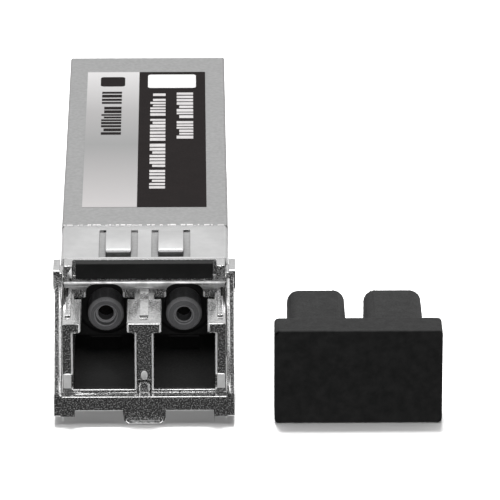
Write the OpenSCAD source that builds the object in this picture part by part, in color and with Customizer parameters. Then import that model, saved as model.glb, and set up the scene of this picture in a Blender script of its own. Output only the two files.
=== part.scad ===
// Pluggable optical transceiver with duplex ports, swing bail and its twin dust plug.
// Millimetres. X runs across the module, +Y to the card edge, +Z to the label side.
// Depths are measured back from the front of the nose; place() moves them so that
// the origin is on the bottom face, halfway along the shell.

/* [Shell] */
// Length from the front of the nose to the rear opening
total_len = 56.5; // [55.5:0.5:60]
// Width over the rear shell
shell_w = 13.4; // [13.3:0.05:13.5]
// Height of the rear shell
shell_h = 8.5; // [8.4:0.05:8.6]
// Roof thickness of the top cover
roof_t = 0.9; // [0.6:0.1:1.1]
// Floor thickness of the lower housing
floor_t = 0.45; // [0.45:0.01:0.46]
// Height of the joint between lower housing and top cover
split_z = 4.2; // [4:0.1:4.5]
// Depth at which the full section of the shell starts, behind the spring collar
shell_front = 15.85; // [15.8:0.05:16.1]
// Depth at which the floor ends and the card edge is open below
floor_end = 46.1; // [45.5:0.1:47]

/* [Nose] */
// Width of the cast nose
nose_w = 12.84; // [12.8:0.02:12.86]
// Depth of the front plane of the upper frame, behind the jaws
frame_front = 7; // [6.9:0.05:7.05]
// Depth of the back of the nose
nose_back = 8.75; // [8.75:0.01:8.76]
// How far the nose hangs below the bottom face
nose_drop = 0.6; // [0.55:0.05:0.7]
// Height of the jaw walls beside the ports
jaw_top = 6.35; // [6.3:0.05:6.4]

/* [Ports] */
// Distance between the two port axes
port_pitch = 6.25; // [6.25:0.01:6.26]
// Height of the port axes above the bottom face
port_z = 3.18; // [3.1:0.02:3.24]
// Width of each port
port_w = 4.8; // [4.7:0.02:4.84]
// Height of the port floor
port_floor = 0.78; // [0.74:0.01:0.8]
// Height of the port ceiling beside the latch slot
port_top = 5.77; // [5.7:0.01:5.8]
// Height of the latch slot ceiling
latch_top = 7; // [6.9:0.02:7.02]
// Width of the latch slot
latch_w = 2.9; // [2.7:0.1:3.2]
// Depth of the port back wall
port_depth = 11.5; // [11.3:0.1:11.6]
// Bore that takes the connector ferrule
ferrule_bore = 1.26; // [1.25:0.002:1.27]
// Outer diameter of the port barrels
barrel_d = 2.9; // [2.8:0.02:3]
// Depth of the barrel tips
barrel_tip = 9.7; // [9.6:0.1:9.9]

/* [Bail and latch] */
// Depth of the bail pivot
pivot_y = 7.5; // [7.48:0.01:7.52]
// Height of the bail pivot
pivot_z = 7.2; // [7.18:0.01:7.22]
// Diameter of the pivot pins
pivot_d = 0.72; // [0.68:0.01:0.74]
// Radial clearance of the bail on its pins
pivot_clear = 0.04; // [0.03:0.01:0.05]
// Offset of the drive pins behind and below the pivot
drive_off = 0.85; // [0.8:0.01:0.86]
// Diameter of the drive pins
drive_d = 0.56; // [0.5:0.02:0.58]
// Width over the bail arms
bail_w = 14.2; // [14.1:0.05:14.3]
// Lowest point of the finger tab below the bottom face
tab_drop = 1.75; // [1.6:0.05:1.9]
// Thickness of the latch slider sheet
slider_t = 0.35; // [0.3:0.01:0.36]

/* [Spring collar] */
// Sheet thickness of the collar
collar_t = 0.18; // [0.15:0.01:0.18]
// Width of each spring finger
finger_w = 2; // [1.6:0.1:2.1]
// Rise of the spring fingers above the sheet
finger_rise = 0.38; // [0.2:0.02:0.42]
// Slot width beside each spring finger
finger_slot = 0.55; // [0.4:0.05:0.6]

/* [Card] */
// Thickness of the circuit board
card_t = 1; // [0.9:0.05:1]
// Height of the underside of the circuit board
card_z = 2.25; // [2.2:0.05:2.3]
// Width of the card edge
card_edge_w = 9.2; // [9:0.1:9.4]
// Pitch of the card edge contacts
contact_pitch = 0.8; // [0.78:0.01:0.82]
// Contacts on each side
contacts = 10; // [8:1:10]

/* [Dust plug] */
// X position of the middle of the plug
plug_x = 16.83; // [16:0.1:20]
// Width of the plug handle
plug_w = 13.2; // [12.8:0.1:13.6]
// Thickness of the plug handle
plug_t = 2.75; // [2.4:0.05:3]
// Reach of the prongs in front of the handle
prong_len = 8.1; // [7.6:0.1:8.6]
// Width of each prong
prong_w = 4.6; // [4.4:0.05:4.7]
// Spacing of the prongs
prong_pitch = 6.12; // [6:0.01:6.25]
// Corner radius of the prong section
prong_r = 1; // [0.6:0.1:1.2]
// Height of the top of the handle above the bottom face of the shell
plug_top = 6.08; // [5.8:0.02:6.4]

/* [Hidden] */
$fn = 40;
origin_y = 30;
nose_x = nose_w / 2;
shell_x = shell_w / 2;
neck_x = shell_x - 0.25;
cavity_x = neck_x - 0.4;
collar_x = neck_x + 0.02 + collar_t;
collar_top = shell_h - 0.02;
collar_bottom = -0.05;
neck_top = collar_top - collar_t - 0.02;
neck_bottom = collar_bottom + collar_t + 0.02;
port_x = port_pitch / 2;
port_in = port_x - port_w / 2 + 0.045;
port_out = port_x + port_w / 2 + 0.045;
bar_x = 5.45;
notch_x = 5.72;
notch_z = 7.18;
card_top = card_z + card_t;
arm_in = 6.5;
arm_out = bail_w / 2;
ear_in = 6.7;
ear_out = arm_out + 0.13;
hub_r = 1.1;
drive_y = pivot_y + drive_off;
drive_z = pivot_z - drive_off;
fork_in = nose_x - 0.3;
fork_top = 6.52;
pocket_top = 6.7;
slider_z = -0.42;
tine_z = 0.03;
tine_in = 1.45;
tine_out = 2.6;
finger_root = shell_front - 0.9;
finger_tip = 10.2;

// ---- helpers ----

// Moves a depth measured from the nose into the part's own frame.
module place() {
    translate([0, -origin_y, 0]) children();
}

// Box between two limits on each axis.
module slab(x0, x1, y0, y1, z0, z1) {
    translate([x0, y0, z0]) cube([x1 - x0, y1 - y0, z1 - z0]);
}

// Outline drawn in X and Z, extruded in depth.
module prism_y(y0, y1) {
    translate([0, y1, 0])
        rotate([90, 0, 0])
            linear_extrude(y1 - y0) children();
}

// Outline drawn in depth and Z, extruded across.
module prism_x(x0, x1) {
    translate([x0, 0, 0])
        rotate([90, 0, 90])
            linear_extrude(x1 - x0) children();
}

// Flat rectangle with round corners.
module round_rect(x0, x1, z0, z1, r) {
    translate([x0 + r, z0]) square([x1 - x0 - 2 * r, z1 - z0]);
    translate([x0, z0 + r]) square([x1 - x0, z1 - z0 - 2 * r]);
    for (x = [x0 + r, x1 - r], z = [z0 + r, z1 - r])
        translate([x, z]) circle(r);
}

module both_sides() {
    children();
    mirror([1, 0, 0]) children();
}

// Cylinder along the depth axis.
module rod_y(x, z, y0, y1, r) {
    translate([x, y1, z])
        rotate([90, 0, 0])
            cylinder(r = r, h = y1 - y0);
}

// Cylinder across the module.
module rod_x(x0, x1, y, z, r) {
    translate([x0, y, z])
        rotate([0, 90, 0])
            cylinder(r = r, h = x1 - x0);
}

// Outline of one port on the right: square port and latch slot with a rounded top.
module port_outline() {
    translate([port_in, port_floor])
        square([port_out - port_in, port_top - port_floor]);
    round_rect(port_x + 0.07 - latch_w / 2, port_x + 0.07 + latch_w / 2,
        port_top - 1.5, latch_top, 0.75);
}

// Flat chamfer along an upright edge at x, y from z0 to z1.
module edge_chamfer(x, y, z0, z1, w) {
    translate([x, y, (z0 + z1) / 2])
        rotate([0, 0, 45])
            cube([w * 1.414, w * 1.414, z1 - z0], center = true);
}

// Space that the fork arms of the slider work in, on the right.
module fork_pocket() {
    slab(fork_in - 0.06, nose_x + 1, 5.3, 8.8, -nose_drop - 1, pocket_top);
    slab(fork_in - 0.06, nose_x + 1, 5.3, 9.35, 5, pocket_top);
}

// ---- shell ----

module nose_body() {
    prism_y(0, nose_back)
        round_rect(-nose_x, nose_x, -nose_drop, jaw_top, 0.2);
    prism_y(frame_front, nose_back)
        round_rect(-nose_x, nose_x, jaw_top - 1, shell_h, 0.12);
    rod_x(-nose_x, nose_x, frame_front + 0.1, notch_z - 0.32, 0.32);
    both_sides()
        slab(port_out + 0.2, nose_x - 0.2, 1.3, frame_front + 0.2, jaw_top - 0.1, jaw_top + 0.25);
    slab(-0.35, 0.35, 1.3, frame_front + 0.2, jaw_top - 0.1, jaw_top + 0.25);
}

module nose_frame() {
    color([0.72, 0.73, 0.75]) place() {
        difference() {
            nose_body();
            both_sides() {
                slab(port_in, port_out, -1, frame_front, port_floor, jaw_top + 0.1);
                prism_y(frame_front - 1, nose_back + 1) port_outline();
                slab(port_in, port_out, 0.35, nose_back + 1, floor_t, port_floor + 0.1);
                for (x = [port_in, port_out])
                    edge_chamfer(x, 0, port_floor + 0.02, port_top - 0.02, 0.2);
                fork_pocket();
                slab(tine_in - 0.1, tine_out + 0.1, 5.7, nose_back + 1, -2, floor_t + 0.1);
                rod_x(5.85, nose_x + 1, pivot_y, pivot_z, pivot_d / 2);
            }
            slab(-notch_x, notch_x, frame_front - 1, 8.34, notch_z, 9);
            slab(-nose_x - 1, nose_x + 1, 5.3, nose_back + 1, -2, 0);
            slab(-0.52, 0.52, -1, 7.5, -2, 0);
            slab(-0.52, 0.52, -1, 0.5, -2, 1.6);
        }
        both_sides() {
            difference() {
                prism_y(0, 5.3)
                    round_rect(port_out - 0.6, port_out + 0.3, jaw_top - 0.76, jaw_top, 0.12);
                edge_chamfer(port_out - 0.6, 0, jaw_top - 1, jaw_top + 0.2, 0.2);
            }
            difference() {
                prism_y(0, 5.3)
                    round_rect(port_in - 0.3, port_in + 0.6, jaw_top - 0.76, jaw_top, 0.12);
                edge_chamfer(port_in + 0.6, 0, jaw_top - 1, jaw_top + 0.2, 0.2);
            }
            prism_x(port_out + 0.02, nose_x - 0.12)
                polygon([[0.1, 0.95], [-0.28, 1.1], [-0.1, 2.15], [0.1, 2.15]]);
        }
    }
}

module lower_housing() {
    color([0.6, 0.61, 0.62]) place()
        difference() {
            union() {
                difference() {
                    union() {
                        prism_y(shell_front, total_len)
                            round_rect(-shell_x, shell_x, 0, split_z + 1, 0.25);
                        prism_y(nose_back, shell_front + 0.5)
                            round_rect(-neck_x, neck_x, neck_bottom, split_z + 1, 0.2);
                    }
                    slab(-cavity_x, cavity_x, 8, total_len + 1, floor_t, 9);
                    slab(-5.3, 5.3, floor_end, total_len + 1, -1, 1);
                }
                both_sides()
                    for (y = [24, 31.5, 39])
                        slab(5.2, cavity_x + 0.1, y, y + 5, floor_t - 0.1, card_z);
                prism_x(-1.3, 1.3)
                    polygon([[11.5, floor_t], [11.5, -0.45], [12.4, -0.45], [14.1, 0.05], [14.1, floor_t]]);
            }
            slab(-shell_x - 1, shell_x + 1, 8, total_len + 1, split_z, 9);
            both_sides()
                slab(tine_in - 0.1, tine_out + 0.1, 8, 15.6, -1, floor_t + 0.1);
        }
}

module top_cover() {
    color([0.66, 0.67, 0.68]) place() {
        difference() {
            union() {
                prism_y(shell_front, total_len)
                    round_rect(-shell_x, shell_x, split_z - 1, shell_h, 0.2);
                prism_y(nose_back, shell_front + 0.5)
                    round_rect(-neck_x, neck_x, split_z - 1, neck_top, 0.2);
            }
            slab(-cavity_x, cavity_x, 8, total_len + 1, 2, shell_h - roof_t);
            slab(-shell_x - 1, shell_x + 1, 8, total_len + 1, 2, split_z);
            both_sides() {
                fork_pocket();
                slab(1.1, 3.1, 9.2, 11, shell_h - roof_t + 0.1, 9);
            }
        }
        slab(-cavity_x - 0.1, cavity_x + 0.1, floor_end - 0.1, floor_end + 0.6,
            split_z, shell_h - roof_t + 0.1);
        slab(-cavity_x + 0.05, cavity_x - 0.05, floor_end - 0.1, floor_end + 0.6,
            card_top + 0.02, split_z + 0.1);
        both_sides()
            slab(5.3, cavity_x - 0.05, 26, 44, card_top, split_z + 0.1);
        both_sides()
            slab(5.3, cavity_x + 0.1, 26, 44, split_z, split_z + 0.6);
    }
}

// Depth profile of a spring finger, arched above the sheet and falling at its free end.
function finger_arch(y0, y1, z, rise) = [
    for (i = [0:10]) [y0 + (y1 - y0) * i / 10, z + rise * sin(155 * i / 10)]
];

module finger(width) {
    arch_top = finger_arch(finger_root + 0.1, finger_tip, 0, finger_rise);
    arch_low = finger_arch(finger_root + 0.1, finger_tip, -collar_t, finger_rise);
    prism_x(-width / 2, width / 2)
        polygon(concat(arch_top, [for (i = [10:-1:0]) arch_low[i]]));
}

module finger_window(width) {
    slab(-width / 2 - finger_slot, width / 2 + finger_slot, 9, finger_root, -1, 1);
}

// Puts a finger on the roof, the floor or a side wall of the collar.
module on_roof(x) {
    translate([x, 0, collar_top]) children();
}

module on_floor(x) {
    translate([x, 0, collar_bottom]) rotate([0, 180, 0]) children();
}

module on_wall() {
    translate([collar_x, 0, shell_h / 2]) rotate([0, 90, 0]) children();
}

module emi_collar() {
    color([0.76, 0.76, 0.77]) place() {
        difference() {
            prism_y(nose_back, shell_front)
                round_rect(-collar_x, collar_x, collar_bottom, collar_top, 0.3);
            prism_y(nose_back - 1, shell_front + 1)
                round_rect(-collar_x + collar_t, collar_x - collar_t,
                    collar_bottom + collar_t, collar_top - collar_t, 0.15);
            slab(-2.8, 2.8, 8, shell_front - 0.35, -1, 0.5);
            both_sides() {
                on_roof(2.1) finger_window(finger_w);
                on_floor(4.6) finger_window(1.4);
                on_wall() finger_window(finger_w);
            }
        }
        both_sides() {
            on_roof(2.1) finger(finger_w);
            on_floor(4.6) finger(1.4);
            on_wall() scale([1, 1, 0.5]) finger(finger_w);
        }
    }
}

module label() {
    color([0.25, 0.25, 0.26]) place()
        slab(-5.15, 5, 20, 52.7, shell_h, shell_h + 0.06);
}

module colour_bar() {
    color([0.08, 0.08, 0.08]) place()
        prism_x(-bar_x, bar_x)
            round_rect(7.5, 8.32, notch_z, shell_h - 0.01, 0.1);
}

// ---- optics ----

module receptacle() {
    color([0.1, 0.1, 0.1]) place() {
        difference() {
            union() {
                slab(-cavity_x + 0.02, cavity_x - 0.02, nose_back, 12.9, floor_t, 7.3);
                both_sides()
                    slab(port_in + 0.02, port_out - 0.02, 0.37, nose_back + 0.1, floor_t, port_floor);
            }
            both_sides() {
                prism_y(nose_back - 0.2, port_depth) port_outline();
                rod_y(port_x, port_z, port_depth - 0.5, 12.1, 2.3);
                rod_y(port_x, port_z, port_depth - 0.5, 14, barrel_d / 2);
                translate([port_x, 8.4, port_floor - 2.85])
                    rotate([-90, 0, 0])
                        cylinder(r = 3.1, h = port_depth - 8.6);
            }
        }
        both_sides()
            slab(port_in + 0.02, port_out - 0.02, 8.3, port_depth + 0.1, floor_t, port_floor - 0.12);
    }
}

// Barrel with a chamfered tip; the ceramic sleeve sits in its rear pocket.
module barrel(x, entry_d, entry_depth) {
    r = barrel_d / 2;
    translate([x, 14.7, port_z])
        rotate([90, 0, 0])
            difference() {
                union() {
                    cylinder(r = r, h = 14.7 - barrel_tip - 0.35);
                    translate([0, 0, 14.7 - barrel_tip - 0.35])
                        cylinder(r1 = r, r2 = r - 0.225, h = 0.35);
                }
                translate([0, 0, -1]) cylinder(d = ferrule_bore, h = 10);
                translate([0, 0, -1]) cylinder(r = 0.95, h = 1 + 3.3);
                translate([0, 0, 14.7 - barrel_tip - entry_depth])
                    cylinder(d1 = entry_d - 0.1, d2 = entry_d, h = entry_depth + 0.01);
            }
}

module sleeve(x) {
    difference() {
        rod_y(x, port_z, 11.4, 14.6, 0.95);
        rod_y(x, port_z, 11, 15, ferrule_bore / 2);
    }
}

module osa_can(x, length) {
    rod_y(x, port_z, 14.7, 15.35, 2.55);
    rod_y(x, port_z, 15.35, 16.6, 1.9);
    rod_y(x, port_z, 16.6, 14.7 + length, 2.3);
    rod_y(x, port_z, 14.7 + length, 15.3 + length, 1.7);
}

module flex(x) {
    slab(x - 1.4, x + 1.4, 21.6, 21.75, port_z - 1.4, card_top + 0.15);
    slab(x - 1.4, x + 1.4, 21.6, 26, card_top, card_top + 0.15);
}

module tx_barrel() {
    color([0.3, 0.3, 0.31]) place() barrel(-port_x, 1.73, 0.55);
}

module rx_barrel() {
    color([0.3, 0.3, 0.31]) place() barrel(port_x, 1.5, 0.25);
}

module tx_sleeve() {
    color([0.9, 0.89, 0.85]) place() sleeve(-port_x);
}

module rx_sleeve() {
    color([0.9, 0.89, 0.85]) place() sleeve(port_x);
}

module tosa_can() {
    color([0.75, 0.7, 0.5]) place() osa_can(-port_x, 6.3);
}

module rosa_can() {
    color([0.75, 0.7, 0.5]) place() osa_can(port_x, 6.3);
}

module osa_retainer() {
    color([0.5, 0.5, 0.52]) place()
        difference() {
            slab(-cavity_x + 0.05, cavity_x - 0.05, 15.4, 16.5, floor_t, 7.3);
            both_sides() {
                rod_y(port_x, port_z, 15, 17, 1.95);
                slab(port_x - 1.95, port_x + 1.95, 15, 17, 0, port_z);
            }
        }
}

module tx_flex() {
    color([0.85, 0.55, 0.2]) place() flex(-port_x);
}

module rx_flex() {
    color([0.85, 0.55, 0.2]) place() flex(port_x);
}

// ---- electronics ----

module circuit_board() {
    color([0.1, 0.35, 0.2]) place() {
        slab(-cavity_x + 0.1, cavity_x - 0.1, 23, 45.8, card_z, card_top);
        slab(-card_edge_w / 2, card_edge_w / 2, 45, total_len - 3.2, card_z, card_top);
    }
}

module contact_row(z) {
    for (i = [0:contacts - 1])
        slab((i - (contacts - 1) / 2) * contact_pitch - 0.28, (i - (contacts - 1) / 2) * contact_pitch + 0.28,
            total_len - 7.5, total_len - 3.6, z, z + 0.05);
}

module contacts_top() {
    color([0.9, 0.75, 0.3]) place() contact_row(card_top);
}

module contacts_bottom() {
    color([0.9, 0.75, 0.3]) place() contact_row(card_z - 0.05);
}

module laser_driver() {
    color([0.12, 0.12, 0.13]) place() slab(-4.8, -0.8, 28, 32, card_top, card_top + 0.9);
}

module limiting_amplifier() {
    color([0.12, 0.12, 0.13]) place() slab(1.2, 4.2, 28.5, 31.5, card_top, card_top + 0.9);
}

module memory_chip() {
    color([0.12, 0.12, 0.13]) place() slab(-1.5, 1.5, 37, 39.2, card_top, card_top + 0.8);
}

module passives() {
    color([0.6, 0.5, 0.35]) place()
        for (x = [-4, -2.4, 2.4, 4], y = [34, 41])
            slab(x - 0.25, x + 0.25, y - 0.5, y + 0.5, card_top, card_top + 0.5);
}

module thermal_pad() {
    color([0.6, 0.62, 0.8]) place()
        slab(-4.6, -1, 28.2, 31.8, card_top + 0.9, shell_h - roof_t);
}

// ---- bail and latch ----

module pivot_pin(side) {
    x0 = side > 0 ? 5.85 : -ear_out;
    rod_x(x0, x0 + ear_out - 5.85, pivot_y, pivot_z, pivot_d / 2);
}

module pivot_pin_left() {
    color([0.8, 0.8, 0.8]) place() pivot_pin(-1);
}

module pivot_pin_right() {
    color([0.8, 0.8, 0.8]) place() pivot_pin(1);
}

// One side of the bail: hub, ear and slanting arm down to the front bar.
module bail_side() {
    difference() {
        union() {
            prism_x(ear_in, ear_out)
                polygon([[5.95, 8.1], [5.95, shell_h - 0.15], [6.1, shell_h], [8.5, shell_h],
                    [8.7, shell_h - 0.2], [8.7, 8.1]]);
            prism_x(ear_in, arm_out)
                polygon([[5.95, 7.9], [5.95, 8.2], [8.7, 8.2], [8.7, 6.2], [7, 5.9]]);
            prism_x(arm_in, arm_out)
                polygon([[5.95, 7.9], [5.95, 8.3], [7.5, 8.3], [8.2, 7], [8.7, 6.9], [8.7, 5.9],
                    [8.2, 5.3], [1.4, -0.9], [1.1, -1.12], [-0.85, -1.12], [-0.95, -1.02],
                    [-0.95, 0.75]]);
            rod_x(nose_x + 0.04, ear_out, pivot_y, pivot_z, hub_r);
        }
        rod_x(5, 9, pivot_y, pivot_z, pivot_d / 2 + pivot_clear);
    }
    rod_x(fork_in - 0.02, arm_in + 0.2, drive_y, drive_z, drive_d / 2);
    slab(5.5, arm_in + 0.1, -0.95, -0.05, -1.12, -0.5);
}

module bail() {
    color([0.78, 0.79, 0.8]) place() {
        both_sides() bail_side();
        prism_x(-arm_in - 0.1, arm_in + 0.1)
            round_rect(-0.95, -0.05, -0.62, 0.56, 0.08);
        prism_y(-0.95, -0.4)
            round_rect(-1.65, 1.65, -tab_drop + 0.05, 0, 0.45);
        rod_x(-1.2, 1.2, -0.75, -tab_drop + 0.33, 0.33);
        for (x = [-1.2, 1.2])
            translate([x, -0.75, -tab_drop + 0.33]) sphere(r = 0.33);
    }
}

// Tine with a step up into the floor slot and a ramp beside the latch boss.
module slider_tine() {
    prism_x(tine_in, tine_out)
        polygon([
            [7.4, slider_z], [7.7, slider_z], [8.3, tine_z], [13.3, tine_z], [14.2, tine_z - 0.4],
            [14.6, tine_z - 0.4], [15.1, tine_z], [15.1, tine_z + slider_t], [8.15, tine_z + slider_t],
            [7.55, slider_z + slider_t], [7.4, slider_z + slider_t]
        ]);
}

module slider_arm() {
    difference() {
        union() {
            slab(fork_in, nose_x, 7.35, 8.65, slider_z, 5.5);
            slab(fork_in, nose_x, 7.35, 9.2, 5.2, fork_top);
        }
        slab(fork_in - 1, nose_x + 1, drive_y - drive_d / 2 - 0.13, drive_y + drive_d / 2 + 0.13, 5.65, 7);
    }
}

module latch_slider() {
    color([0.7, 0.7, 0.68]) place() {
        slab(-nose_x, nose_x, 7.35, 7.7, slider_z, slider_z + slider_t);
        both_sides() {
            slab(2.8, nose_x, 7.35, 8.65, slider_z, slider_z + slider_t);
            slider_arm();
            slider_tine();
        }
        slab(-0.45, 0.45, 0.05, 7.5, slider_z, slider_z + slider_t);
        prism_y(0.05, 0.4)
            round_rect(-0.45, 0.45, slider_z, 1.45, 0.3);
    }
}

// ---- dust plug ----

// Prong with a round-cornered section and a short taper below its tip.
module prong(x) {
    back = 1.7;
    tip = 1.85 + prong_len;
    half = prong_w / 2;
    intersection() {
        prism_y(back, tip)
            round_rect(x - half, x + half, 0.8, 5.2, prong_r);
        prism_x(x - half - 1, x + half + 1)
            polygon([[back, 0], [tip - 2, 0], [tip, 1.6], [tip, 5.05], [tip - 0.3, 6], [back, 6]]);
    }
}

module dust_plug() {
    color([0.13, 0.13, 0.13]) place() {
        prism_y(1.85 - plug_t, 1.85)
            round_rect(plug_x - plug_w / 2, plug_x + plug_w / 2, -tab_drop, plug_top, 0.35);
        for (side = [-1, 1])
            prong(plug_x - 0.1 + side * prong_pitch / 2);
    }
}

nose_frame();
lower_housing();
top_cover();
emi_collar();
label();
colour_bar();
receptacle();
tx_barrel();
rx_barrel();
tx_sleeve();
rx_sleeve();
tosa_can();
rosa_can();
osa_retainer();
tx_flex();
rx_flex();
circuit_board();
contacts_top();
contacts_bottom();
laser_driver();
limiting_amplifier();
memory_chip();
passives();
thermal_pad();
pivot_pin_left();
pivot_pin_right();
bail();
latch_slider();
dust_plug();
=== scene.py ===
import math
import random

import bmesh
import bpy
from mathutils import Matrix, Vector
from mathutils.bvhtree import BVHTree


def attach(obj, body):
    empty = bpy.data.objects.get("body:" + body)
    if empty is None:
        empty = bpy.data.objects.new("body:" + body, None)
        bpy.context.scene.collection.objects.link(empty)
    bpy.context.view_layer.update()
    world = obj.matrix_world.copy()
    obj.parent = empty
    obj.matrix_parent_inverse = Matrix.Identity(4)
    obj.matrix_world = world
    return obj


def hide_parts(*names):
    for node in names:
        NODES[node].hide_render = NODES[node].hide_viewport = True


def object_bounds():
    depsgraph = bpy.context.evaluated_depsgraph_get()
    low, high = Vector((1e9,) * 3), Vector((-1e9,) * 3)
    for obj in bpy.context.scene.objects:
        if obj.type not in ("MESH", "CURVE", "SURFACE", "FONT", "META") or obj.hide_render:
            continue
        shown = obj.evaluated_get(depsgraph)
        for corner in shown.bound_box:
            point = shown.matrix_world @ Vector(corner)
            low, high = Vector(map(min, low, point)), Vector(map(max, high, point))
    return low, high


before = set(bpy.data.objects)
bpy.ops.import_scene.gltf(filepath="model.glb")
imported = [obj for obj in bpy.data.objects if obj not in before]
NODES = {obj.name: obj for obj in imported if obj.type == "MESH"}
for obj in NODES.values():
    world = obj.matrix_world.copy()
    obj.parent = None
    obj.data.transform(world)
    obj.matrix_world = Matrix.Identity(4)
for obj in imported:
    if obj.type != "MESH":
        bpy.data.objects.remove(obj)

cad_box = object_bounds()
MM = 0.001
NOSE_FRONT = 30.0  # mm from the frame's origin forward to the front of the nose

# how the copies of the CAD nodes are cleaned and rounded
MERGE = 2e-6  # m, vertices closer than this become one
FLAT_ANGLE = 0.6  # degrees, faces closer than this to one plane are joined
MOST_SIDES = 10  # a face with more sides is cut into triangles
REAL_EDGE = 0.5  # radians, only an edge sharper than this can take the larger radius
BEVEL_ANGLE = 32  # degrees, an edge sharper than this is rounded
OVERSHOOT = 0.03 * MM  # a rounded corner further out than this goes back
COPY_CREASE = 20  # degrees, where the shading of a copy breaks
PIECE_CREASE = 30  # degrees, where the shading of an added piece breaks
BAR_SIDES = 12  # round a bar
POLE = 0.004  # mm, radius left at the ends of a bar, so that they can be capped


# ---------------------------------------------------------------- mesh helpers


def depth(d):
    """Y, in metres, of a depth in mm measured back from the front of the nose."""
    return (d - NOSE_FRONT) * MM


def link(obj):
    bpy.context.scene.collection.objects.link(obj)
    return obj


def mesh_object(name, bm, material):
    mesh = bpy.data.meshes.new(name)
    bmesh.ops.recalc_face_normals(bm, faces=bm.faces)
    bm.to_mesh(mesh)
    bm.free()
    mesh.materials.append(material)
    return link(bpy.data.objects.new(name, mesh))


def shade(mesh, crease):
    """Smooth shading that breaks where two faces meet at more than crease degrees."""
    for p in mesh.polygons:
        p.use_smooth = True
    mesh.set_sharp_from_angle(angle=math.radians(crease))


def bevel(obj, name, width, segments, **settings):
    """Adds a bevel modifier, its width in mm."""
    mod = obj.modifiers.new(name, "BEVEL")
    mod.width = width * MM
    mod.segments = segments
    for key, value in settings.items():
        setattr(mod, key, value)


def depth_of(co):
    """The depth in mm of a point of a mesh."""
    return co.y / MM + NOSE_FRONT


def ends_in_mm(edge):
    """The ends of an edge in mm, with y measured back from the front of the nose."""
    return [v.co / MM + Vector((0, NOSE_FRONT, 0)) for v in edge.verts]


def clean_copy(node, soft):
    """A CAD node's mesh with its flat areas joined, so that a bevel can follow its edges.
    soft(a, b), on the ends of an edge, picks the edges that take the larger radius."""
    bm = bmesh.new()
    bm.from_mesh(NODES[node].data)
    bmesh.ops.remove_doubles(bm, verts=bm.verts, dist=MERGE)
    bmesh.ops.dissolve_limit(
        bm, angle_limit=math.radians(FLAT_ANGLE), verts=bm.verts[:], edges=bm.edges[:]
    )
    bmesh.ops.triangulate(bm, faces=[f for f in bm.faces if len(f.verts) > MOST_SIDES])
    if soft:
        weight = bm.edges.layers.float.new("bevel_weight_edge")
        for e in bm.edges:
            real = len(e.link_faces) == 2 and e.calc_face_angle(0) > REAL_EDGE
            if real and soft(*ends_in_mm(e)):
                e[weight] = 1.0
    return bm


def keep_inside(mesh, cad):
    """Puts rounded corners that overshoot back on the CAD surface and in the node's box."""
    corners = [v.co for v in cad.vertices]
    skin = BVHTree.FromPolygons(corners, [p.vertices for p in cad.polygons])
    low = [min(c[i] for c in corners) for i in range(3)]
    high = [max(c[i] for c in corners) for i in range(3)]
    for v in mesh.vertices:
        at, normal, _, away = skin.find_nearest(v.co)
        if away > OVERSHOOT and (v.co - at).dot(normal) > 0:
            v.co = at
        v.co = [min(max(v.co[i], low[i]), high[i]) for i in range(3)]


def drop_slivers(mesh):
    """Removes faces that have shrunk to nothing."""
    bm = bmesh.new()
    bm.from_mesh(mesh)
    bmesh.ops.dissolve_degenerate(bm, dist=MERGE, edges=bm.edges[:])
    bm.to_mesh(mesh)
    bm.free()


def refined(node, name, material, width, body="module", soft=None, soft_width=0.0):
    """A copy of a CAD node, with clean faces and edges rounded by width, that stands
    for the node."""
    obj = mesh_object(name, clean_copy(node, soft), material)
    if soft:
        bevel(obj, "soft_edges", soft_width, 1, limit_method="WEIGHT",
              use_clamp_overlap=False)
    if width:
        bevel(obj, "edges", width, 2, limit_method="ANGLE", use_clamp_overlap=False,
              angle_limit=math.radians(BEVEL_ANGLE))
    graph = bpy.context.evaluated_depsgraph_get()
    baked = bpy.data.meshes.new_from_object(obj.evaluated_get(graph))
    obj.modifiers.clear()
    obj.data = baked
    keep_inside(baked, NODES[node].data)
    drop_slivers(baked)
    shade(baked, COPY_CREASE)
    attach(obj, body)
    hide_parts(node)
    return obj


def piece(name, bm, material, edge=0.0, body="module"):
    """A small formed detail, added to what the CAD nodes show."""
    obj = mesh_object(name, bm, material)
    shade(obj.data, PIECE_CREASE)
    if edge:
        bevel(obj, "edges", edge, 2, harden_normals=True)
    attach(obj, body)
    return obj


def solid(bm, outlines):
    """A closed solid through outlines of (x, depth, z) points in mm, capped at its ends."""
    rings = [[bm.verts.new((x * MM, depth(d), z * MM)) for x, d, z in o] for o in outlines]
    n = len(rings[0])
    for a, b in zip(rings, rings[1:]):
        for k in range(n):
            bm.faces.new((a[k], a[(k + 1) % n], b[(k + 1) % n], b[k]))
    bm.faces.new(rings[0][::-1])
    bm.faces.new(rings[-1])


def box(bm, x0, x1, d0, d1, z0, z1):
    """Axis-aligned block."""
    solid(bm, [[(x, d0, z0), (x, d1, z0), (x, d1, z1), (x, d0, z1)] for x in (x0, x1)])


def rounded_block(bm, x0, x1, d0, d1, r, z0, z1):
    """Flat block with rounded corners."""
    outline = []
    for cx, cd, start in ((x1 - r, d1 - r, 0), (x0 + r, d1 - r, 90),
                          (x0 + r, d0 + r, 180), (x1 - r, d0 + r, 270)):
        for k in range(5):
            a = math.radians(start + 22.5 * k)
            outline.append((cx + r * math.cos(a), cd + r * math.sin(a)))
    solid(bm, [[(x, d, z) for x, d in outline] for z in (z0, z1)])


def capsule(bm, cx, cd, cz, length, r):
    """Round-ended bar across the module."""
    half = [(cx - length / 2 + r + r * t, max(r * math.sqrt(1 - t * t), POLE))
            for t in (-1.0, -0.87, -0.5, 0.0)]
    turn = [2 * math.pi * k / BAR_SIDES for k in range(BAR_SIDES)]
    solid(bm, [
        [(x, cd + q * math.cos(a), cz + q * math.sin(a)) for a in turn]
        for x, q in half + [(2 * cx - x, q) for x, q in reversed(half)]
    ])


def lowest(node):
    """Height in mm of a CAD node's foot."""
    return min(v.co.z for v in NODES[node].data.vertices) / MM


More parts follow.
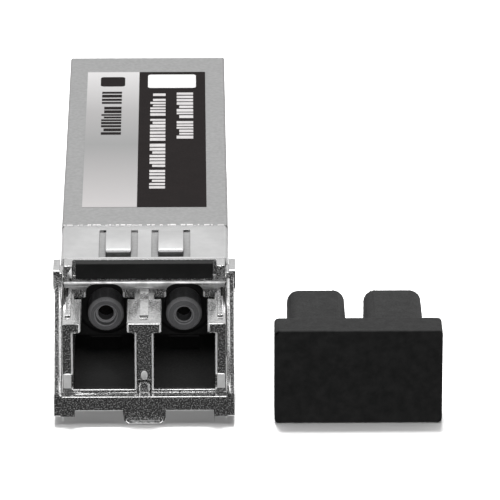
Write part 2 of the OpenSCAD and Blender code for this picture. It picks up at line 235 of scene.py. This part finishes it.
# ---------------------------------------------------------------- materials


def grey(v):
    return (v, v, v, 1.0)


def even(v):
    return (v, v, v)


def new_material(name):
    m = bpy.data.materials.new(name)
    m.use_nodes = True
    nt = m.node_tree
    return m, nt, nt.nodes["Principled BSDF"]


def add_node(nt, kind, values=None, links=None):
    """A new shader node with set values and links on its inputs."""
    made = nt.nodes.new("ShaderNode" + kind)
    for key, value in (values or {}).items():
        made.inputs[key].default_value = value
    for key, source in (links or {}).items():
        nt.links.new(source, made.inputs[key])
    return made


def noise(nt, scale, detail, rough):
    place = add_node(nt, "TexCoord").outputs["Object"]
    values = {"Scale": scale, "Detail": detail, "Roughness": rough}
    return add_node(nt, "TexNoise", values, {"Vector": place}).outputs["Fac"]


def ramp(nt, fac, stops):
    """Colour ramp through stops of (position, colour)."""
    made = add_node(nt, "ValToRGB", links={"Fac": fac})
    ends = made.color_ramp.elements
    ends[0].position, ends[0].color = stops[0]
    ends[1].position, ends[1].color = stops[-1]
    for position, colour in stops[1:-1]:
        ends.new(position).color = colour
    return made.outputs["Color"]


def spread(nt, fac, lo, hi, start, end):
    """Maps the part of a pattern between start and end to the range lo to hi."""
    values = {"From Min": start, "From Max": end, "To Min": lo, "To Max": hi}
    return add_node(nt, "MapRange", values, {"Value": fac}).outputs["Result"]


def bump(nt, fac, strength, distance, under=None):
    """Relief from a pattern, on top of the relief under it."""
    links = {"Height": fac}
    if under:
        links["Normal"] = under
    values = {"Strength": strength, "Distance": distance}
    return add_node(nt, "Bump", values, links).outputs["Normal"]


MOTTLE_RELIEF = 0.00006  # m
GRAIN_RELIEF = 0.00002
PATTERN = (0.3, 0.7)  # the part of a noise pattern's range that carries the finish
SPECKLE_PATTERN = (0.5, 0.64)


def surface(name, base, metallic, rough, grain, grain_bump, mottle=900, mottle_bump=0.0,
            vary=0.08, specular=0.5, relief=GRAIN_RELIEF, speckle=None):
    """Procedural finish: colour mottling, roughness variation and two scales of relief.
    speckle (scale, low, high) lets small grains of the metal scatter light."""
    m, nt, bsdf = new_material(name)
    fine = noise(nt, grain, 3.0, 0.6)
    wide = noise(nt, mottle, 3.0, 0.55)
    dark = tuple(max(0.0, c * (1 - vary)) for c in base) + (1.0,)
    pale = tuple(min(1.0, c * (1 + vary)) for c in base) + (1.0,)
    colour = ramp(nt, wide, list(zip(PATTERN, (dark, pale))))
    nt.links.new(colour, bsdf.inputs["Base Color"])
    nt.links.new(spread(nt, fine, *rough, *PATTERN), bsdf.inputs["Roughness"])
    bsdf.inputs["Metallic"].default_value = metallic
    if speckle:
        scale, low, high = speckle
        grains = noise(nt, scale, 2.0, 0.7)
        flecks = spread(nt, grains, low, high, *SPECKLE_PATTERN)
        nt.links.new(flecks, bsdf.inputs["Metallic"])
    bsdf.inputs["Specular IOR Level"].default_value = specular
    under = bump(nt, wide, mottle_bump, MOTTLE_RELIEF) if mottle_bump else None
    nt.links.new(bump(nt, fine, grain_bump, relief, under), bsdf.inputs["Normal"])
    return m


# name, base, metallic, roughness range, grain and its bump, mottle and its bump, variation
nickel = surface("bright_nickel", even(0.82), 1.0, (0.10, 0.22), 6500, 0.6, 3000, 0.3, 0.05,
                 relief=0.00003, speckle=(9000, 1.0, 0.5))
bail_metal = surface("bail_nickel", even(0.82), 1.0, (0.12, 0.24), 6500, 0.35, 2400, 0.15,
                     0.05, relief=0.00003, speckle=(8500, 1.0, 0.52))
cover_metal = surface("housing_alloy", even(0.40), 0.7, (0.48, 0.60), 7000, 0.5, 3500, 0.1,
                      0.10)
collar_metal = surface("spring_steel", even(0.70), 0.8, (0.38, 0.48), 12000, 0.12, 1200,
                       0.05, 0.04)
black = surface("black_plastic", even(0.014), 0.0, (0.45, 0.6), 6000, 0.1, 1500, 0.05,
                specular=0.22)
barrel_grey = surface("barrel_grey", (0.16, 0.16, 0.165), 0.0, (0.25, 0.35), 9000, 0.08)
zirconia = surface("zirconia", even(0.03), 0.0, (0.15, 0.2), 9000, 0.02)
gilt = surface("gilt_can", (0.75, 0.62, 0.35), 1.0, (0.25, 0.35), 5000, 0.1)
retainer = surface("retainer_steel", (0.45, 0.45, 0.46), 1.0, (0.35, 0.45), 8000, 0.1)
flex_film = surface("flex_film", (0.6, 0.3, 0.08), 0.0, (0.3, 0.4), 5000, 0.05)
board = surface("board", (0.02, 0.12, 0.05), 0.0, (0.3, 0.4), 4000, 0.15, 1200, 0.05, 0.2)
gold = surface("gold_contact", (0.85, 0.6, 0.22), 1.0, (0.18, 0.28), 6000, 0.05)
chip = surface("chip_body", (0.02, 0.02, 0.022), 0.0, (0.45, 0.55), 9000, 0.2)
chip_part = surface("chip_part", (0.3, 0.2, 0.12), 0.0, (0.35, 0.45), 6000, 0.1)
gap_pad = surface("gap_pad", (0.35, 0.38, 0.55), 0.0, (0.7, 0.8), 4000, 0.3)
steel = surface("slider_steel", (0.62, 0.62, 0.6), 1.0, (0.2, 0.32), 7000, 0.2)
rubber = surface("plug_rubber", even(0.022), 0.0, (0.55, 0.7), 7000, 0.2, 1500, 0.06, 0.25,
                 specular=0.22)
# near-white finish that paints highlights on the port chamfers and on the curled finger
# tips
painted_highlight_white = surface("painted_highlight_edge", even(0.93), 0.1, (0.25, 0.35), 5000, 0.15, 2500, 0.1,
                   0.06)
cast_lip = surface("cast_lip", even(0.60), 0.55, (0.38, 0.5), 5200, 0.6, 1100, 0.4, 0.35)
rim_painted_highlight = surface("barrel_rim_highlight", (0.42, 0.42, 0.43), 0.2, (0.25, 0.35), 9000, 0.05)
satin = surface("satin_ramp", even(0.85), 0.2, (0.4, 0.5), 6000, 0.1, 1500, 0.05)
streaked = surface("lip_streaks", even(0.62), 0.1, (0.3, 0.5), 5000, 0.6, 3200, 0.3, 0.85,
                   relief=0.00004)
silver = surface("silver_label", (0.62, 0.62, 0.63), 0.25, (0.30, 0.36), 9000, 0.03, 500,
                 0.0, 0.03)
ink = surface("label_ink", (0.012, 0.009, 0.009), 0.0, (0.6, 0.7), 9000, 0.04, 900, 0.0,
              0.1, specular=0.08)
mark = surface("label_mark", (0.62, 0.60, 0.60), 0.0, (0.5, 0.6), 9000, 0.03)
paper = surface("sticker_paper", (0.85, 0.84, 0.84), 0.0, (0.6, 0.7), 9000, 0.04)

# painted reflection: the silver of the label is painted darker and pale again along its
# length
LABEL_DEPTH = (20.0, 52.7)
nt = silver.node_tree
place = add_node(nt, "TexCoord").outputs["Object"]
along = add_node(nt, "SeparateXYZ", links={"Vector": place}).outputs["Y"]
span = spread(nt, along, 0.0, 1.0, *map(depth, LABEL_DEPTH))
painted_reflection = ramp(nt, span, [
    (0.0, (0.60, 0.58, 0.58, 1)), (0.28, (0.44, 0.43, 0.43, 1)),
    (0.45, (0.34, 0.34, 0.34, 1)), (0.7, (0.46, 0.45, 0.45, 1)),
    (1.0, (0.75, 0.74, 0.74, 1)),
])
nt.links.new(painted_reflection, nt.nodes["Principled BSDF"].inputs["Base Color"])


# ---------------------------------------------------------------- shell and nose


def near(v, target, tol=0.03):
    return abs(v - target) < tol


ARM_INSIDE = 6.5  # mm, inner faces of the bail's arms
BRACKET_ENDS = (1.745, 4.645)  # mm, where the upper brackets end
BRACKET_DEPTH = 7.0
LIP_DEPTH = (6.7, 7.5)  # where the rounded lip under the colour bar lies
LIP_HEIGHT = (6.5, 7.25)
DIAGONAL = 0.707  # both parts of the normal of a 45 degree face


def bail_soft(a, b):
    """Inner front edges of both arms."""
    inner = near(abs(a.x), ARM_INSIDE) and near(abs(b.x), ARM_INSIDE)
    return inner and min(a.y, b.y) < 3.0 and abs(a.z - b.z) > 4.0


def bracket_soft(a, b):
    """Upright front edges at the ends of the upper brackets."""
    at_end = any(near(abs(a.x), x) for x in BRACKET_ENDS)
    in_front = near(a.y, BRACKET_DEPTH) and near(b.y, BRACKET_DEPTH)
    return at_end and in_front and near(a.x, b.x, 0.02)


nose = refined("nose_frame", "nose_casting", nickel, 0.05,
               soft=bracket_soft, soft_width=0.2)
nose.data.materials.append(painted_highlight_white)
nose.data.materials.append(cast_lip)
for p in nose.data.polygons:
    sideways, forward = abs(p.normal.x), -p.normal.y
    in_lip = (LIP_DEPTH[0] < depth_of(p.center) < LIP_DEPTH[1]
              and LIP_HEIGHT[0] < p.center.z / MM < LIP_HEIGHT[1])
    if near(sideways, DIAGONAL, 0.1) and near(forward, DIAGONAL, 0.1):
        p.material_index = 1  # chamfers of the ports, where the white finish is a painted highlight
    elif in_lip and sideways < 0.2 and forward > -0.3:
        p.material_index = 2
refined("bail", "bail_casting", bail_metal, 0.05, body="bail",
        soft=bail_soft, soft_width=0.26)
refined("latch_slider", "slider_stamping", steel, 0.1, body="slider")
refined("top_cover", "cover_shell", cover_metal, 0.06)
refined("lower_housing", "housing_shell", cover_metal, 0.06)
refined("emi_collar", "collar_sheet", collar_metal, 0.03)
refined("colour_bar", "bar_insert", black, 0.0)
refined("receptacle", "receptacle_liner", black, 0.05)
for node, name in (("tx_barrel", "port_barrel_left"), ("rx_barrel", "port_barrel_right")):
    barrel = refined(node, name, barrel_grey, 0.07)
    # the rim faces that look forward get a lighter grey: a painted highlight
    barrel.data.materials.append(rim_painted_highlight)
    for p in barrel.data.polygons:
        if 0.3 < -p.normal.y < 0.95:  # forward-facing faces of the rounded rim, painted lighter as a highlight
            p.material_index = 1
refined("dust_plug", "plug_moulding", rubber, 0.09, body="plug")

# CAD nodes that stay visible get their finish directly
for node, material in {
    "tx_sleeve": zirconia, "rx_sleeve": zirconia, "tosa_can": gilt, "rosa_can": gilt,
    "osa_retainer": retainer, "tx_flex": flex_film, "rx_flex": flex_film,
    "circuit_board": board, "contacts_top": gold, "contacts_bottom": gold,
    "laser_driver": chip, "limiting_amplifier": chip, "memory_chip": chip,
    "passives": chip_part, "thermal_pad": gap_pad,
    "pivot_pin_left": steel, "pivot_pin_right": steel,
}.items():
    slots = NODES[node].data.materials
    if not slots:
        slots.append(material)
    for i in range(len(slots)):
        slots[i] = material


# ---------------------------------------------------------------- formed details

# ramps at the foot of the side walls
RAMP_WIDTH = (5.74, 6.36)
RAMP_PROFILE = ((-0.04, 0.95), (-0.34, 1.06), (-0.12, 2.12), (-0.02, 2.15))
bm = bmesh.new()
for side in (-1, 1):
    solid(bm, [[(side * x, d, z) for d, z in RAMP_PROFILE] for x in RAMP_WIDTH])
piece("nose_ramps", bm, satin, 0.03)

# raised pad on the front tab of the slider, a round-topped arch
PAD_FOOT = lowest("latch_slider") + 0.02
PAD_HALF_WIDTH = 0.45
PAD_ROUNDING = 0.34
PAD_SHOULDER = 1.11  # height where the rounding starts


def arch(inset):
    """Outline of the pad as (x, z), drawn in by inset."""
    half = [(PAD_HALF_WIDTH - inset, PAD_FOOT + inset)]
    r = PAD_ROUNDING - inset
    for k in range(7):
        a = math.radians(15 * k)
        half.append((PAD_HALF_WIDTH - PAD_ROUNDING + r * math.cos(a),
                     PAD_SHOULDER + r * math.sin(a)))
    return half + [(-x, z) for x, z in reversed(half)]


bm = bmesh.new()
solid(bm, [[(x, d, z) for x, z in arch(inset)]
           for inset, d in ((0.0, 0.1), (0.0, 0.04), (0.13, -0.08))])
piece("slider_pad", bm, nickel, body="slider")

# small formed nub above it, on the centre post, whose near-white satin finish paints a
# highlight
NUB_RADII = (0.27, 0.16, 0.4)
NUB_HEIGHT = 2.0
bm = bmesh.new()
bmesh.ops.create_uvsphere(bm, u_segments=24, v_segments=14, radius=1.0)
for v in bm.verts:
    x, d, z = (r * c for r, c in zip(NUB_RADII, v.co))
    v.co = (x * MM, depth(d), (NUB_HEIGHT + z) * MM)
piece("post_nub", bm, satin)

# streaked rolled lip at the foot of the bail tab
ROLL_RADIUS = 0.34
ROLL_DEPTH, ROLL_HEIGHT = -0.75, lowest("bail") + 0.33  # its axis
ROLL_HALF_WIDTH = 1.2
roll = []
for k in range(9):
    a = math.radians(-12 + 12 * k)
    roll.append((ROLL_DEPTH - ROLL_RADIUS * math.cos(a),
                 ROLL_HEIGHT - ROLL_RADIUS * math.sin(a)))
bm = bmesh.new()
solid(bm, [[(0.2 * k - ROLL_HALF_WIDTH, d, z) for d, z in roll] for k in range(13)])
piece("tab_lip", bm, streaked, body="bail")

# curled tips of the two roof fingers, with a painted highlight in their white finish
FINGER_X = 2.1
FINGER_TIP = 10.2  # depth
CURL_DEPTH, CURL_SINK = 10.16, 0.07
CURL_LENGTH, CURL_RADIUS = 2.0, 0.15
tip = max(
    v.co.z for v in NODES["emi_collar"].data.vertices
    if near(v.co.x / MM, FINGER_X, 1.05) and near(depth_of(v.co), FINGER_TIP, 0.08)
) / MM
bm = bmesh.new()
for x in (-FINGER_X, FINGER_X):
    capsule(bm, x, CURL_DEPTH, tip - CURL_SINK, CURL_LENGTH, CURL_RADIUS)
piece("finger_curls", bm, painted_highlight_white)

# painted highlight: a bright broken line of white blocks where the collar roof meets the
# cover
SEAM_DEPTH = 15.80
SEAM_HEIGHT = (8.46, 8.57)
SEAM_END = 6.6
LAST_START = 6.3
random.seed(3)
bm = bmesh.new()
x = -SEAM_END
while x < LAST_START:
    run = random.uniform(0.08, 0.5)
    end = min(x + run, SEAM_END)
    box(bm, x, end, SEAM_DEPTH, SEAM_DEPTH + random.uniform(0.08, 0.2), *SEAM_HEIGHT)
    x += run + random.choice((0.05, 0.12, 0.4))
piece("seam_highlight", bm, paper)

# ---------------------------------------------------------------- label

LABEL_LEFT, LABEL_SPLIT, LABEL_RIGHT = -5.15, -0.68, 5.0
LABEL_TOP = 8.53
FILM = (8.5, LABEL_TOP)
PRINT = (LABEL_TOP, LABEL_TOP + 0.006)
STICKER = (LABEL_TOP, LABEL_TOP + 0.008)
CORNER = 0.3

# the rows of blocks, in mm: a block's length, the gap after it, how much some of them
# are trimmed, how many stand together, and the extra gap between groups
BLOCK = (0.4, 0.72)
GAP = (0.2, 0.3)
TRIMS = (0.0, 0.0, 0.22)
GROUP = (4, 9)
GROUP_GAP = 0.5
SHORTEST = 0.3

bm = bmesh.new()
box(bm, LABEL_LEFT, LABEL_SPLIT, *LABEL_DEPTH, *FILM)
plate = piece("label_silver", bm, silver)
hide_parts("label")
bm = bmesh.new()
box(bm, LABEL_SPLIT, LABEL_RIGHT, *LABEL_DEPTH, *FILM)
piece("label_dark", bm, ink)

random.seed(7)


def block_row(bm, x0, x1, d0, d1):
    """Plain blocks in a row along the module, in groups."""
    d = d0
    left = random.randint(*GROUP)
    while d < d1 - SHORTEST:
        run = random.uniform(*BLOCK)
        trim = random.choice(TRIMS)
        box(bm, x0 + trim, x1, d, min(d + run, d1), *PRINT)
        d += run + random.uniform(*GAP)
        left -= 1
        if left == 0:
            left = random.randint(*GROUP)
            d += GROUP_GAP


bm = bmesh.new()
block_row(bm, 2.55, 3.95, 36.0, 47.4)
block_row(bm, 0.3, 1.6, 24.2, 47.4)
piece("label_rows_light", bm, mark)

bm = bmesh.new()
block_row(bm, -3.85, -2.15, 37.0, 48.0)
rounded_block(bm, -4.0, -1.9, 49.0, 51.4, CORNER, *PRINT)
piece("label_rows_dark", bm, ink)

bm = bmesh.new()
rounded_block(bm, 0.07, 4.2, 48.6, 52.0, CORNER, *STICKER)
piece("label_sticker", bm, paper)

# ---------------------------------------------------------------- stage

HALF_FLOOR = 3.0  # m
FLOOR_GAP = 0.02 * MM  # under the foot of the bail tab
mesh = bpy.data.meshes.new("floor")
mesh.from_pydata(
    [(x * HALF_FLOOR, y * HALF_FLOOR, 0) for x, y in ((-1, -1), (1, -1), (1, 1), (-1, 1))],
    [], [(0, 1, 2, 3)],
)
floor = link(bpy.data.objects.new("floor", mesh))
floor.location.z = cad_box[0].z - FLOOR_GAP
material, nt, bsdf = new_material("floor")
bsdf.inputs["Base Color"].default_value = grey(0.52)
bsdf.inputs["Roughness"].default_value = 0.9
bsdf.inputs["Specular IOR Level"].default_value = 0.0
mesh.materials.append(material)
# the floor takes shadows, but the metal doesn't mirror it and it throws no light back
floor.visible_glossy = False
floor.visible_diffuse = False

world = bpy.data.worlds.new("studio")
bpy.context.scene.world = world
world.use_nodes = True
nt = world.node_tree
way = add_node(nt, "TexCoord").outputs["Generated"]
toward = add_node(nt, "SeparateXYZ", links={"Vector": way}).outputs
# dark behind the camera, bright overhead and at the sides, softer at the back
sky = ramp(nt, spread(nt, toward["Y"], 0.0, 1.0, -1.0, 1.0), [
    (0.0, grey(0.02)), (0.33, grey(0.03)), (0.39, grey(1.0)), (0.60, grey(1.0)),
    (0.80, grey(0.5)), (1.0, grey(0.42)),
])
# the far sides are dimmer, so that a bright wall seen square on keeps its shape
across = add_node(nt, "Math")
across.operation = "ABSOLUTE"
nt.links.new(toward["X"], across.inputs[0])
flank = ramp(nt, across.outputs["Value"], [(0.90, grey(1.0)), (0.98, grey(0.45))])
dimmed = add_node(nt, "VectorMath")
dimmed.operation = "MULTIPLY"
nt.links.new(sky, dimmed.inputs[0])
nt.links.new(flank, dimmed.inputs[1])
studio = nt.nodes["Background"]
nt.links.new(dimmed.outputs["Vector"], studio.inputs["Color"])
studio.inputs["Strength"].default_value = 1.35
# the camera sees plain white behind the floor
white = add_node(nt, "Background", {"Color": grey(1.0)})
path = add_node(nt, "LightPath").outputs["Is Camera Ray"]
mix = add_node(nt, "MixShader", links={"Fac": path})
nt.links.new(studio.outputs["Background"], mix.inputs[1])
nt.links.new(white.outputs["Background"], mix.inputs[2])
nt.links.new(mix.outputs["Shader"], nt.nodes["World Output"].inputs["Surface"])


def area(name, loc, target, size, power):
    light = bpy.data.lights.new(name, "AREA")
    light.shape = "RECTANGLE"
    light.size, light.size_y = size
    light.energy = power
    obj = link(bpy.data.objects.new(name, light))
    obj.location = loc
    obj.rotation_mode = "QUATERNION"
    obj.rotation_quaternion = (Vector(target) - Vector(loc)).to_track_quat("-Z", "Y")
    return obj


area("key_top", (0.0, 0.05, 0.6), (0, 0, 0), (0.5, 0.5), 2.2)
front = area("front_fill", (0.02, -0.6, 0.13), (0, -0.02, 0), (0.15, 0.1), 1.3)
front.visible_glossy = False
# a lamp behind that lights only the floor gives the shadow in front of the feet
drop = area("floor_key", (0.0, 0.14, 0.6), (0, -0.01, 0), (0.1, 0.1), 11.0)
floor_only = bpy.data.collections.new("floor_only")
floor_only.objects.link(floor)
drop.light_linking.receiver_collection = floor_only

# camera fitted to the photograph
cam_data = bpy.data.cameras.new("camera")
cam_data.sensor_width = 36.0
cam_data.lens = 411.6
cam_data.clip_start, cam_data.clip_end = 0.01, 10.0
cam = link(bpy.data.objects.new("camera", cam_data))
cam.location = (3.65 * MM, -445.0 * MM, 175.2 * MM)
cam.rotation_euler = (math.radians(68.6), 0.0, math.radians(-0.644))
bpy.context.scene.camera = cam
bpy.context.scene.view_settings.view_transform = "Standard"
